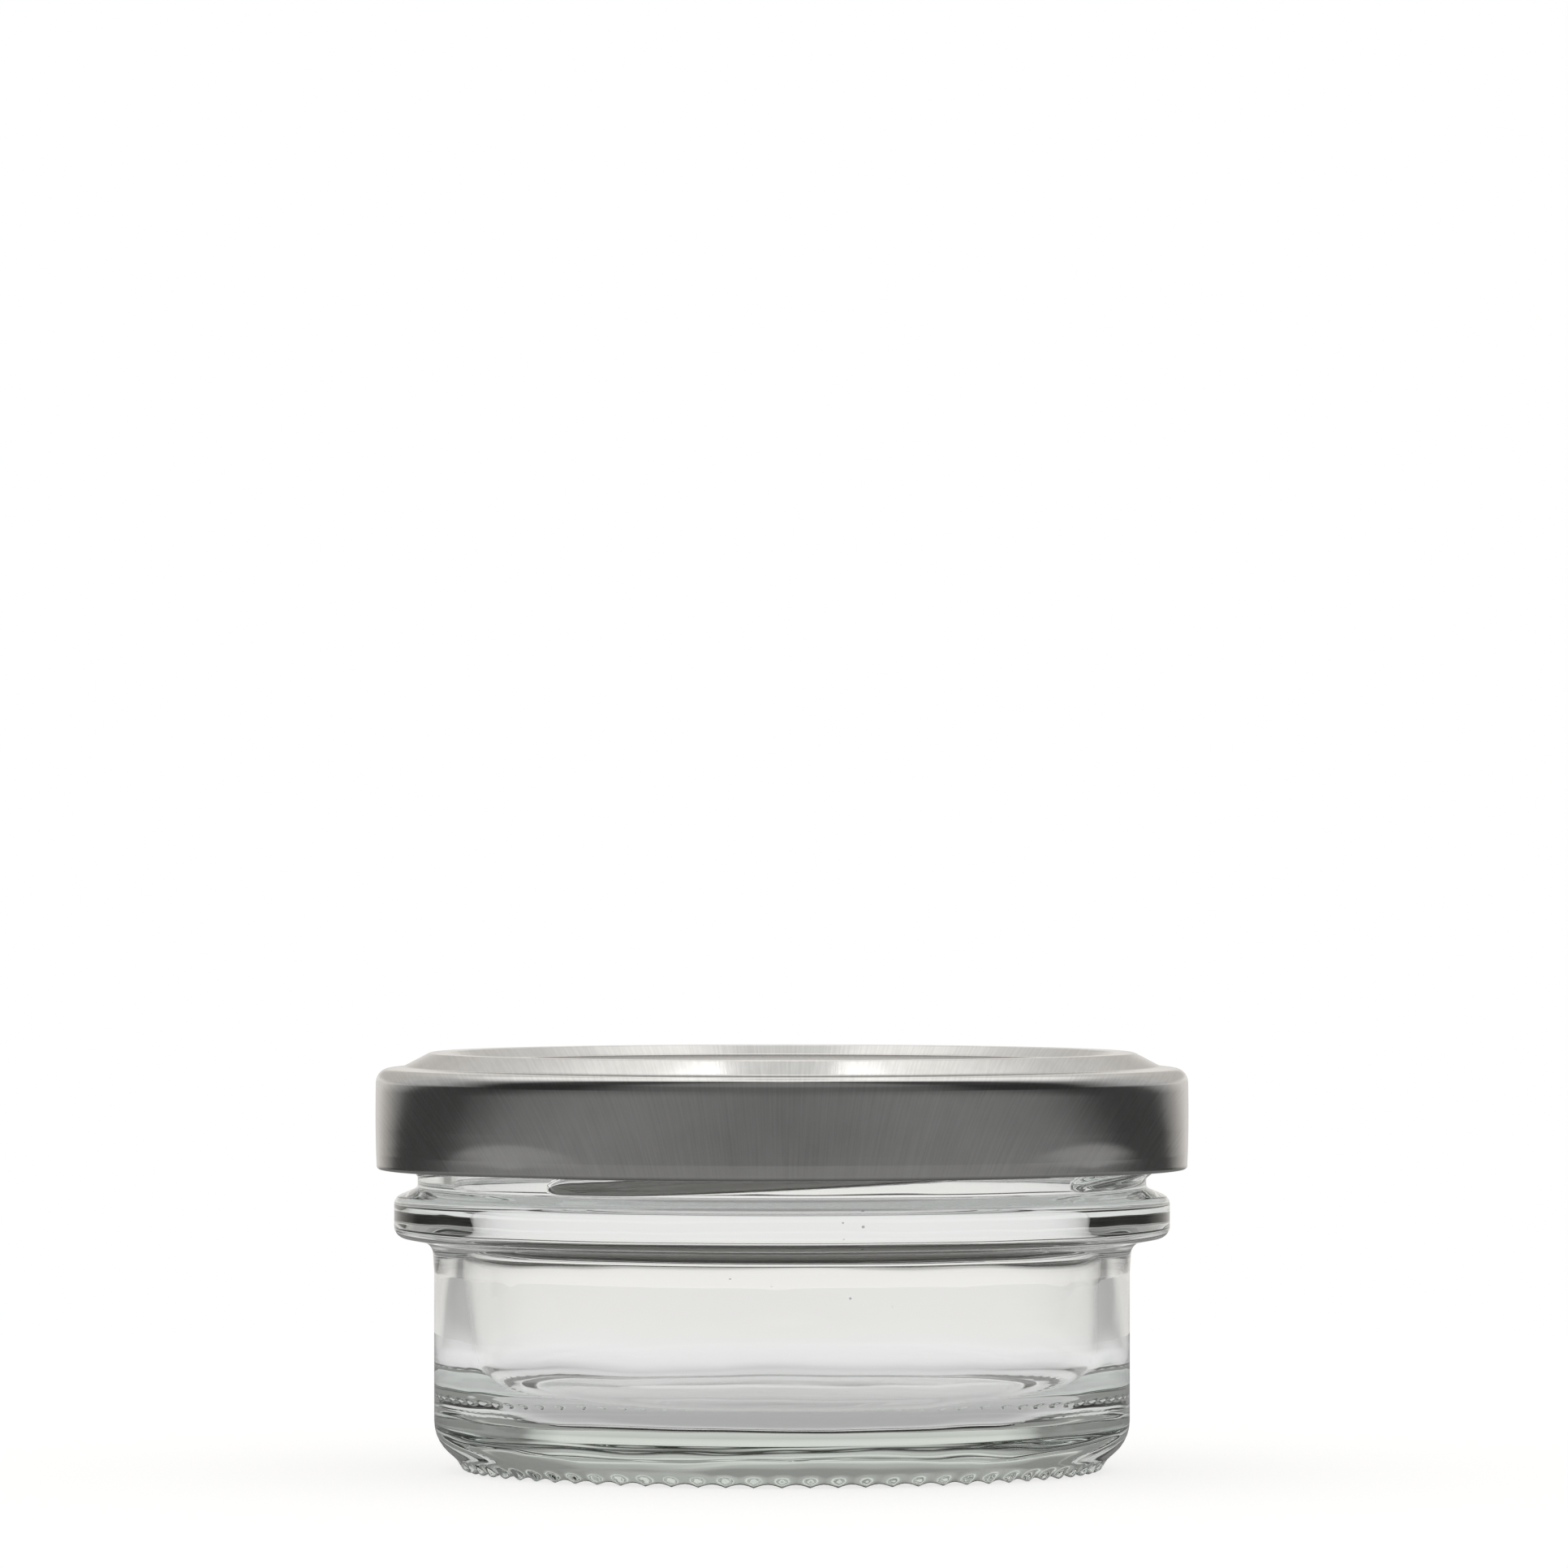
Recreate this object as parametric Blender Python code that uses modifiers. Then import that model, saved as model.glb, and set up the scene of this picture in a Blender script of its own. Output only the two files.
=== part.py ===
"""Straight-sided glass jar closed by a twist-off lid, with the sealing ring inside the lid.

Lengths are in metres and +Z is up. The origin is the centre of the base, on the plane that the
jar stands on. The front of the jar faces -Y, and angles named CLOCK are counted from the front,
towards +X. The lid is closed.
"""
from math import atan2, copysign, cos, degrees, pi, radians, sin, sqrt, tan

import bmesh
import bpy

# Body of the jar
BODY_RADIUS = 0.0295
BODY_HEIGHT = 0.0168
BODY_WALL = 0.0024
FLARE_HEIGHT = 0.0016
FLARE_REACH = 0.00025
COVE_RADIUS = 0.0009

# Base of the jar
FLOOR_THICKNESS = 0.0024
FLOOR_DISH = 0.0002
INNER_CORNER = 0.0052
PUSH_UP = 0.0016
BEARING_WIDTH = 0.0042
HEEL_RADIUS = 0.0035
HEEL_BEVEL_HEIGHT = 0.0013
HEEL_BEVEL_DEG = 41

# Knurl that the jar stands on
KNURL_COUNT = 72
KNURL_HEIGHT = 0.0003
KNURL_MARGIN = 0.0001

# Bead under the lid, with its top falling and its underside rising towards its edge
BEAD_HEIGHT = 0.0047
BEAD_REACH = 0.0020
BEAD_TOP_FALL = 0.00084
BEAD_UNDER_RISE = 0.0006
BEAD_LOWER_CORNER = 0.0010
BEAD_UPPER_CORNER = 0.0009

# Neck and rim
NECK_STEP = 0.0014
NECK_HEIGHT = 0.0094
NECK_WALL = 0.0027
NECK_FILLET = 0.0003
RIM_OUTER_CORNER = 0.0012
RIM_INNER_CORNER = 0.0009

# Threads on the neck
THREAD_STARTS = 4
THREAD_LEAD = 0.010
THREAD_HEIGHT = 0.0014
THREAD_SINK = 0.0003
THREAD_SPAN_DEG = 115
THREAD_RUN_OUT_DEG = 8
THREAD_CLOCK_DEG = -39.3

# Sealing ring
SEAL_THICKNESS = 0.00125
SEAL_EDGE = 0.0001
SEAT_GAP = 0.0003

# Sheet metal of the lid
SHEET = 0.0002
PANEL_DROP = 0.00085
CHAMFER_DROP = 0.0012
SHOULDER_DROP = 0.00025
SHOULDER_WIDTH = 0.00235
SKIRT_CORNER = 0.0012
THREAD_CLEARANCE = 0.0006
CURL_RADIUS = 0.0008
CURL_SWEEP_DEG = 250

# Lugs pressed from the curl of the lid
LUG_LENGTH = 0.008
LUG_TIP_CLEARANCE = 0.0005
LUG_PLAY = 0.00015
LUG_RAISE = 0.00007
LUG_CLOCK_DEG = -42.5
DENT_DEPTH = 0.00035
DENT_HEIGHT = 0.0028
DENT_BLEND_DEG = 6

# How far a solid reaches into the one that it is joined to
OVERLAP = 0.0004

# Facets in a full turn, along a thread and along a lug
TURN_STEPS = 60
THREAD_STEPS = 22
LUG_STEPS = 4

# Points closer than this on the axis are one point
MERGE_DISTANCE = 0.000001

# Push-up under the base: shares of its radius where the outline has points, and its curve
PUSH_UP_RADIUS_SHARES = (0.88, 0.7, 0.4)
PUSH_UP_CURVE = 0.6

# Knurl rib: shares of its pitch that the root and the land take up
KNURL_ROOT_SHARE = 0.55
KNURL_LAND_SHARE = 0.23

# Thread section: share of THREAD_HEIGHT, and share of the pitch above the lower root edge
THREAD_SECTION_SHARES = ((0, 0), (1, 0.36), (1, 0.52), (0, 0.76))
THREAD_END_SHARE = 0.1

# Crown of the lid: share of the neck wall outward from its bore, and share of PANEL_DROP down
CROWN_SHARES = ((-0.37, 1), (0.04, 0.18), (0.26, 0), (0.52, 0), (0.74, 0.12))
SEAL_BORE_SHARE = 0.2

# Fillets stay inside the walls that they round
WALL_FILLET_SHARE = 0.45
BEAD_FILLET_SHARE = 0.85

# Levels and radii of the jar, from the base up
heel_top = (KNURL_HEIGHT + HEEL_BEVEL_HEIGHT
            + HEEL_RADIUS * cos(radians(HEEL_BEVEL_DEG)))
bearing_outer = (BODY_RADIUS - HEEL_RADIUS * (1 - sin(radians(HEEL_BEVEL_DEG)))
                 - HEEL_BEVEL_HEIGHT / tan(radians(HEEL_BEVEL_DEG)))
bearing_inner = bearing_outer - BEARING_WIDTH
floor_level = KNURL_HEIGHT + PUSH_UP + FLOOR_THICKNESS
body_bore = BODY_RADIUS - BODY_WALL
bead_bottom = BODY_HEIGHT + FLARE_HEIGHT + COVE_RADIUS
bead_top = bead_bottom + BEAD_HEIGHT
neck_radius = BODY_RADIUS + NECK_STEP
neck_bore = neck_radius - NECK_WALL
bead_radius = neck_radius + BEAD_REACH
rim_top = bead_top + NECK_HEIGHT

# Threads, and the valley between two of them that a lug runs in
thread_pitch = THREAD_LEAD / THREAD_STARTS
thread_crest = neck_radius + THREAD_HEIGHT
thread_width = THREAD_SECTION_SHARES[-1][1] * thread_pitch
thread_flank = THREAD_SECTION_SHARES[1][1] * thread_pitch
lug_clock_past_nose = LUG_CLOCK_DEG - THREAD_CLOCK_DEG
thread_level_at_lug = bead_top - THREAD_SINK + THREAD_LEAD * lug_clock_past_nose / 360
lug_bottom = thread_level_at_lug + thread_width + LUG_PLAY
lug_tip = neck_radius + LUG_TIP_CLEARANCE

# Lid and sealing ring
skirt_radius = thread_crest + THREAD_CLEARANCE + 2 * CURL_RADIUS
skirt_bottom = lug_bottom - LUG_RAISE
curl_middle = skirt_radius - CURL_RADIUS
seal_bottom = rim_top + SEAT_GAP
seal_top = seal_bottom + SEAL_THICKNESS
crest_level = seal_top + SEAT_GAP + SHEET
panel_level = crest_level - PANEL_DROP


def arc(middle, radius, start_deg, end_deg, steps):
    """Points of an arc in the plane of radius and height, with both of its ends."""
    turns = [radians(start_deg + (end_deg - start_deg) * step / steps) for step in range(steps + 1)]
    return [(middle[0] + radius * cos(turn), middle[1] + radius * sin(turn)) for turn in turns]


def clear_scene():
    """Remove every object, so that the model starts from nothing."""
    for old in list(bpy.data.objects):
        bpy.data.objects.remove(old, do_unlink=True)


def new_collection(name):
    """A collection linked to the scene."""
    collection = bpy.data.collections.new(name)
    bpy.context.scene.collection.children.link(collection)
    return collection


def new_object(name, mesh, collection, level=0.0):
    """An object for the mesh, placed on the jar's axis at the given level."""
    made = bpy.data.objects.new(name, mesh)
    made.location.z = level
    collection.objects.link(made)
    return made


def new_material(name, color, roughness, metallic=0.0, transmission=0.0):
    """A Principled material."""
    material = bpy.data.materials.new(name)
    material.use_nodes = True
    shader = material.node_tree.nodes["Principled BSDF"]
    shader.inputs["Base Color"].default_value = (*color, 1.0)
    shader.inputs["Roughness"].default_value = roughness
    shader.inputs["Metallic"].default_value = metallic
    shader.inputs["Transmission Weight"].default_value = transmission
    return material


def profile_mesh(name, outline, closed, level=0.0):
    """A half section as a chain of edges, with heights counted from the given level."""
    mesh = bpy.data.meshes.new(name)
    points = [(radius, 0.0, height - level) for radius, height in outline]
    edges = [(index, index + 1) for index in range(len(points) - 1)]
    if closed:
        edges.append((len(points) - 1, 0))
    mesh.from_pydata(points, edges, [])
    return mesh


def add_turning(made):
    """Turn a half section once round the jar's axis."""
    turning = made.modifiers.new("Turning", "SCREW")
    turning.axis = "Z"
    turning.angle = 2 * pi
    turning.steps = TURN_STEPS
    turning.render_steps = TURN_STEPS
    turning.use_merge_vertices = True
    turning.merge_threshold = MERGE_DISTANCE
    turning.use_smooth_shade = True


def add_union(made, other):
    """Join another mesh to an object, and show that mesh as a wire guide only."""
    other.hide_render = True
    other.display_type = "WIRE"
    union = made.modifiers.new("Join " + other.name, "BOOLEAN")
    union.operation = "UNION"
    union.solver = "EXACT"
    union.object = other


def repeat_round(bm, count):
    """Copy all that a mesh holds round the axis, evenly, until it is there count times."""
    geometry = bm.verts[:] + bm.edges[:] + bm.faces[:]
    turn = 2 * pi * (count - 1) / count
    bmesh.ops.spin(bm, geom=geometry, axis=(0, 0, 1), angle=turn, steps=count - 1,
                   use_duplicate=True)


def sweep_section(bm, outline, span_deg, steps, rise):
    """Sweep a closed section from the +X side round the axis, with an even rise."""
    section = bm.faces.new([bm.verts.new((radius, 0, height)) for radius, height in outline])
    geometry = [section, *section.edges, *section.verts]
    bmesh.ops.spin(bm, geom=geometry, axis=(0, 0, 1), dvec=(0, 0, rise / steps),
                   angle=radians(span_deg), steps=steps)


def finished_mesh(bm, name):
    """A mesh of flat triangles with its faces pointing out."""
    bmesh.ops.recalc_face_normals(bm, faces=bm.faces[:])
    bmesh.ops.triangulate(bm, faces=bm.faces[:])
    mesh = bpy.data.meshes.new(name)
    bm.to_mesh(mesh)
    bm.free()
    return mesh


def azimuth_deg(vert):
    """Direction of a vertex round the axis, from +X."""
    return degrees(atan2(vert.co.y, vert.co.x))


def base_outline():
    """Underside of the glass, from the heel to the middle of the push-up."""
    heel_middle = (BODY_RADIUS - HEEL_RADIUS, heel_top)
    heel = arc(heel_middle, HEEL_RADIUS, 0, HEEL_BEVEL_DEG - 90, 3)
    bearing = [(bearing_outer, KNURL_HEIGHT), (bearing_inner, KNURL_HEIGHT)]
    push_up = [(bearing_inner * share, KNURL_HEIGHT + PUSH_UP * (1 - share ** 2) ** PUSH_UP_CURVE)
               for share in PUSH_UP_RADIUS_SHARES]
    return [*heel, *bearing, *push_up, (0, KNURL_HEIGHT + PUSH_UP)]


def inside_outline():
    """Inside of the jar, from the middle of the floor up to the rim."""
    corner_middle = (body_bore - INNER_CORNER, floor_level + FLOOR_DISH + INNER_CORNER)
    return [(0, floor_level), *arc(corner_middle, INNER_CORNER, -90, 0, 5),
            (body_bore, bead_bottom), (neck_bore, bead_top)]


def rim_outline():
    """Rounded rim that the sealing ring presses on."""
    outer = min(RIM_OUTER_CORNER, NECK_WALL * WALL_FILLET_SHARE)
    inner = min(RIM_INNER_CORNER, NECK_WALL * WALL_FILLET_SHARE)
    return [*arc((neck_bore + inner, rim_top - inner), inner, 180, 90, 2),
            *arc((neck_radius - outer, rim_top - outer), outer, 90, 0, 3)]


def slope_drop(rounding, slope):
    """How far the middle of a rounding lies from its corner, between an upright and a sloped face."""
    return rounding * (1 / cos(slope) - tan(slope))


def bead_outline():
    """Fillet at the foot of the neck, the bead, and the cove and flare below it."""
    upper = min(BEAD_UPPER_CORNER, BEAD_REACH * BEAD_FILLET_SHARE)
    lower = min(BEAD_LOWER_CORNER, BEAD_REACH * BEAD_FILLET_SHARE)
    flare = BODY_RADIUS + FLARE_REACH
    fall = atan2(BEAD_TOP_FALL, BEAD_REACH)
    rise = atan2(BEAD_UNDER_RISE, bead_radius - flare)
    upper_level = bead_top - BEAD_TOP_FALL - slope_drop(upper, fall)
    lower_level = bead_bottom + BEAD_UNDER_RISE + slope_drop(lower, rise)
    cove_level = bead_bottom - slope_drop(COVE_RADIUS, rise)
    return [*arc((neck_radius + NECK_FILLET, bead_top + NECK_FILLET), NECK_FILLET, 180, 270, 1),
            *arc((bead_radius - upper, upper_level), upper, 90 - degrees(fall), 0, 3),
            *arc((bead_radius - lower, lower_level), lower, 0, degrees(rise) - 90, 2),
            *arc((flare + COVE_RADIUS, cove_level), COVE_RADIUS, 90 + degrees(rise), 180, 2),
            (BODY_RADIUS, BODY_HEIGHT)]


def thread_ribs():
    """The threads: ribs that climb the neck and round off into it at both ends."""
    bm = bmesh.new()
    root = neck_radius - OVERLAP
    middle = thread_width / 2
    outline = [(neck_radius + THREAD_HEIGHT * reach, thread_pitch * up)
               for reach, up in THREAD_SECTION_SHARES]
    outline = [(root, 0), *outline, (root, thread_width)]
    rise = THREAD_LEAD * THREAD_SPAN_DEG / 360
    sweep_section(bm, outline, THREAD_SPAN_DEG, THREAD_STEPS, rise)
    for vert in bm.verts:
        along = azimuth_deg(vert)
        line = THREAD_LEAD * along / 360 + middle
        to_end = min(along, THREAD_SPAN_DEG - along) / THREAD_RUN_OUT_DEG
        rounding = sqrt(1 - (1 - min(max(to_end, 0), 1)) ** 2)
        size = THREAD_END_SHARE + (1 - THREAD_END_SHARE) * rounding
        radius = vert.co.xy.length
        vert.co.xy *= (root + (radius - root) * size) / radius
        vert.co.z = line + (vert.co.z - line) * size
    repeat_round(bm, THREAD_STARTS)
    return finished_mesh(bm, "thread_ribs")


def knurl_ribs():
    """Narrow radial ribs under the bearing ring, each with a flat land to stand on."""
    bm = bmesh.new()
    middle = (bearing_outer + bearing_inner) / 2
    pitch = 2 * pi * middle / KNURL_COUNT
    for vert in bmesh.ops.create_cube(bm, size=1)["verts"]:
        at_root = vert.co.z > 0
        half_width = pitch * (KNURL_ROOT_SHARE if at_root else KNURL_LAND_SHARE) / 2
        inset = KNURL_MARGIN if at_root else KNURL_MARGIN + KNURL_HEIGHT
        vert.co.x = middle + copysign(BEARING_WIDTH / 2 - inset, vert.co.x)
        vert.co.y = copysign(half_width, vert.co.y)
        vert.co.z = KNURL_HEIGHT + OVERLAP if at_root else 0
    repeat_round(bm, KNURL_COUNT)
    return finished_mesh(bm, "knurl_ribs")


def make_jar(parts, guides):
    """The glass: body, bead, neck, rim and base in one turned piece, with threads and knurl."""
    outline = [*inside_outline(), *rim_outline(), *bead_outline(), *base_outline()]
    jar = new_object("glass_jar", profile_mesh("glass_jar", outline, closed=False), parts)
    add_turning(jar)
    threads = new_object("thread_ribs", thread_ribs(), guides, bead_top - THREAD_SINK)
    threads.rotation_euler.z = radians(THREAD_CLOCK_DEG - 90)
    add_union(jar, threads)
    add_union(jar, new_object("knurl_ribs", knurl_ribs(), guides))
    jar.data.materials.append(new_material("jar_glass", (0.86, 0.90, 0.87), 0.02, transmission=1.0))
    return jar


def crown_outline():
    """Outer face of the lid's crown: the panel's edge, the raised crest and its outer fall."""
    return [(neck_bore + NECK_WALL * out, crest_level - PANEL_DROP * down)
            for out, down in CROWN_SHARES]


def chamfer_foot():
    """Where the chamfer outside the crest meets the shoulder."""
    return skirt_radius - SHOULDER_WIDTH, crest_level - CHAMFER_DROP


def lid_outline():
    """Outer face of the sheet, from the middle of the panel down the skirt into the curl."""
    corner_level = crest_level - CHAMFER_DROP - SHOULDER_DROP - SKIRT_CORNER
    corner = arc((skirt_radius - SKIRT_CORNER, corner_level), SKIRT_CORNER, 90, 0, 3)
    curl_level = skirt_bottom + CURL_RADIUS
    dent_top = skirt_bottom + DENT_HEIGHT
    curl = arc((curl_middle, curl_level), CURL_RADIUS, 0, -CURL_SWEEP_DEG, 7)
    return [(0, panel_level), *crown_outline(), chamfer_foot(), *corner,
            (skirt_radius, dent_top), (skirt_radius, (dent_top + curl_level) / 2), *curl]


def lug_half_span_deg():
    """Half of the angle that a lug takes up, where it leaves the curl."""
    return degrees(LUG_LENGTH / (2 * (skirt_radius - 2 * CURL_RADIUS)))


def press_dents(mesh):
    """Push the foot of the skirt and the curl in a little above each lug."""
    span = 360 / THREAD_STARTS
    dent_top = DENT_HEIGHT
    dent_bottom = 2 * CURL_RADIUS
    bm = bmesh.new()
    bm.from_mesh(mesh)
    for vert in bm.verts:
        off_lug = abs((azimuth_deg(vert) + span / 2) % span - span / 2)
        past_lug = (off_lug - lug_half_span_deg()) / DENT_BLEND_DEG
        sideways = 1 - min(max(past_lug, 0), 1)
        down = (dent_top - vert.co.z) / (dent_top - dent_bottom)
        depth = DENT_DEPTH * sideways * min(max(down, 0), 1)
        radius = vert.co.xy.length
        if depth > 0:
            vert.co.xy *= (radius - depth) / radius
    bm.to_mesh(mesh)
    bm.free()


def lug_outline():
    """Section of a lug: flat below, and sloped above to lie under the flank of a thread."""
    curl_top = 2 * CURL_RADIUS
    in_skirt = skirt_radius - DENT_DEPTH - SHEET / 2
    flank_at_tip = thread_flank * LUG_TIP_CLEARANCE / THREAD_HEIGHT
    ceiling = LUG_RAISE - LUG_PLAY - thread_width + thread_pitch - LUG_PLAY
    return [(lug_tip, LUG_RAISE), (in_skirt, LUG_RAISE), (in_skirt, curl_top), (curl_middle, curl_top),
            (thread_crest, ceiling + thread_flank), (lug_tip, ceiling + flank_at_tip)]


def lug_blocks():
    """The lugs: the curl pressed flat and solid, with its top climbing as the threads do."""
    bm = bmesh.new()
    span = 2 * lug_half_span_deg()
    sweep_section(bm, lug_outline(), span, LUG_STEPS, 0)
    for vert in bm.verts:
        along = azimuth_deg(vert)
        if vert.co.z > LUG_RAISE + LUG_PLAY:
            vert.co.z += THREAD_LEAD * (along - span / 2) / 360
        radius = vert.co.xy.length
        at_end = min(along, span - along) < span / (2 * LUG_STEPS)
        if at_end and radius < thread_crest:
            vert.co.xy *= thread_crest / radius
    repeat_round(bm, THREAD_STARTS)
    return finished_mesh(bm, "lug_blocks")


def make_lid(parts, guides):
    """The lid: one sheet, drawn into crown and skirt, with a curled edge and pressed lugs."""
    profile = profile_mesh("lid_profile", lid_outline(), closed=False, level=skirt_bottom)
    turned = new_object("lid_profile", profile, guides)
    add_turning(turned)
    depsgraph = bpy.context.evaluated_depsgraph_get()
    surface = bpy.data.meshes.new_from_object(turned.evaluated_get(depsgraph))
    surface.name = "lid_shell"
    bpy.data.objects.remove(turned)
    press_dents(surface)

    lid = new_object("lid_shell", surface, parts, skirt_bottom)
    wall = lid.modifiers.new("Sheet", "SOLIDIFY")
    wall.thickness = SHEET
    wall.offset = -1
    wall.use_even_offset = True
    lugs = new_object("lug_blocks", lug_blocks(), guides, skirt_bottom)
    lid.rotation_euler.z = radians(LUG_CLOCK_DEG - 90)
    lugs.rotation_euler.z = lid.rotation_euler.z - radians(lug_half_span_deg())
    add_union(lid, lugs)
    lid.data.materials.append(new_material("lid_tinplate", (0.62, 0.61, 0.60), 0.28, metallic=1.0))
    return lid


def seal_outline():
    """Section of the sealing ring: flat below, and parallel to the crown above."""
    crest_in, crest_out, chamfer_head = crown_outline()[2:]
    foot = chamfer_foot()
    slope = (chamfer_head[1] - foot[1]) / (foot[0] - chamfer_head[0])
    drop = (SHEET + SEAT_GAP) * sqrt(1 + slope ** 2)
    bore = neck_bore + NECK_WALL * SEAL_BORE_SHARE
    edge_level = seal_bottom + SEAL_EDGE
    crest_edge = chamfer_head[0] - (seal_top + drop - chamfer_head[1]) / slope
    edge = chamfer_head[0] + (chamfer_head[1] - drop - edge_level) / slope
    shoulder_level = seal_top - (crest_in[0] - bore)
    return [(bore, shoulder_level), (crest_in[0], seal_top), (min(crest_out[0], crest_edge), seal_top),
            (edge, edge_level), (edge, seal_bottom), (bore, seal_bottom)]


def make_seal(parts):
    """The sealing ring, which fills the channel under the crest and lies on the rim."""
    profile = profile_mesh("sealing_ring", seal_outline(), closed=True, level=seal_bottom)
    seal = new_object("sealing_ring", profile, parts, seal_bottom)
    add_turning(seal)
    seal.data.materials.append(new_material("seal_compound", (0.78, 0.76, 0.71), 0.6))
    return seal


def main():
    """Build the jar with its lid closed."""
    clear_scene()
    parts = new_collection("straight_sided_jar")
    guides = new_collection("construction")
    make_jar(parts, guides)
    make_seal(parts)
    make_lid(parts, guides)


main()
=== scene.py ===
from math import atan2, ceil, cos, degrees, pi, radians, sin, sqrt, tan

import bmesh
import bpy
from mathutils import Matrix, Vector


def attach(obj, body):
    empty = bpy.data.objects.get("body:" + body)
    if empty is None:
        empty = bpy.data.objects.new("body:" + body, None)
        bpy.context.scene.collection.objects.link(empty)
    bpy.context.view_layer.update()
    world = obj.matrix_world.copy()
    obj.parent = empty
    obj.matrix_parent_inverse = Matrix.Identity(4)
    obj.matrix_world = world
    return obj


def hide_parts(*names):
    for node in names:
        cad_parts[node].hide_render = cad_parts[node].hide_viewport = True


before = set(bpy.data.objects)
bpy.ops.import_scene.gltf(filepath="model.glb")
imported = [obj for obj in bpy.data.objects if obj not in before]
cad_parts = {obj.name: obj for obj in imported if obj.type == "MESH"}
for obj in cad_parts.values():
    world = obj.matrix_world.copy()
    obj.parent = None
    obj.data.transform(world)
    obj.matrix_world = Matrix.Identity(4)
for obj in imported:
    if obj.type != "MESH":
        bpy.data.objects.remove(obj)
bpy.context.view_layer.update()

bpy.ops.object.select_all(action="DESELECT")

# Camera: level, a metre in front of the jar's axis and a little above the lid, with a long lens.
# The photograph is square, and 14.52 of its pixels make a millimetre at the axis.
PHOTO_WIDTH_PX = 1932
PX_PER_METRE = 14520
CAMERA_DISTANCE = 1.0
CAMERA_HEIGHT = 0.0582
CAMERA_ASIDE = 0.00017
CLIP_START = 0.01
SENSOR_WIDTH_MM = 36.0

bpy.ops.object.camera_add(location=(CAMERA_ASIDE, -CAMERA_DISTANCE, CAMERA_HEIGHT),
                          rotation=(radians(90), 0, 0))
camera = bpy.context.object
camera.name = "camera"
camera.data.sensor_width = SENSOR_WIDTH_MM
camera.data.lens = SENSOR_WIDTH_MM * PX_PER_METRE * CAMERA_DISTANCE / PHOTO_WIDTH_PX
camera.data.clip_start = CLIP_START
bpy.context.scene.camera = camera

# Glass jar: one piece of clear soda-lime glass, blown in a two-part mould. The mould shapes the
# outside, with its threads, bead and knurled foot. The inside is shaped by air, so it is a little
# uneven, and the wall runs into the floor in a thick round corner.
BODY_RADIUS = 0.0295
BODY_TOP = 0.0168
BODY_BORE = 0.0271
LOWER_BORE = 0.02685
FLARE_REACH = 0.00015
BEAD_BOTTOM = 0.0193
BEAD_TOP = 0.0240
BEAD_EDGE_BOTTOM = 0.0199
BEAD_EDGE_TOP = 0.02316
BEAD_RADIUS = 0.0329
NECK_RADIUS = 0.0309
NECK_BORE = 0.0282
RIM_TOP = 0.0334
FLOOR_LEVEL = 0.0043
FLOOR_DISH = 0.0002
INNER_CORNER = 0.0052
HEEL_LEVEL = 0.00265
HEEL_RADIUS = 0.0035
KNURL_HEIGHT = 0.0003
KNURL_TOP = 0.0011
BEARING_OUTER = 0.0268
BEARING_INNER = 0.0226
PUSH_UP = 0.0016
PUSH_UP_CURVE = 0.6
PUSH_UP_RINGS = 14
GLASS_SIDES = 432
ARC_STEP_DEG = 12
THREAD_ZONE_TOP = 0.0291
THREAD_RING_GAP = 0.00012
KNURL_RING_GAP = 0.0003
BEAD_RING_GAP = 0.0004
WALL_RING_GAP = 0.0011
BORE_TOP_ROUNDING = 0.010
FLARE_START_ROUNDING = 0.004
FLARE_END_ROUNDING = 0.006
RIM_INNER_ROUNDING = 0.0009
RIM_OUTER_ROUNDING = 0.0012
BEAD_ROOT_ROUNDING = 0.0004
BEAD_UPPER_ROUNDING = 0.0009
BEAD_LOWER_ROUNDING = 0.0010
COVE_ROUNDING = 0.0012
BODY_TOP_ROUNDING = 0.006
BEARING_ROUNDING = 0.0006
WELD_DISTANCE = 0.000002
START_SIZE = 0.001


def rounded(corners):
    """An outline through corners given as distance from the axis, height and rounding radius."""
    outline = []
    befores = [corners[0], *corners[:-1]]
    afters = [*corners[1:], corners[-1]]
    for before, corner, after in zip(befores, corners, afters):
        place = Vector(corner[:2])
        rounding = corner[2]
        if not rounding:
            outline.append(place)
            continue
        to_before = (Vector(before[:2]) - place).normalized()
        to_after = (Vector(after[:2]) - place).normalized()
        opening = to_before.angle(to_after)
        middle = place + (to_before + to_after).normalized() * rounding / sin(opening / 2)
        reach = rounding / tan(opening / 2)
        first = place + to_before * reach - middle
        last = place + to_after * reach - middle
        turn = pi - opening
        steps = max(3, ceil(degrees(turn) / ARC_STEP_DEG))
        for step in range(steps + 1):
            share = step / steps
            blend = first * sin(turn * (1 - share)) + last * sin(turn * share)
            outline.append(middle + blend / sin(turn))
    return outline


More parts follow.
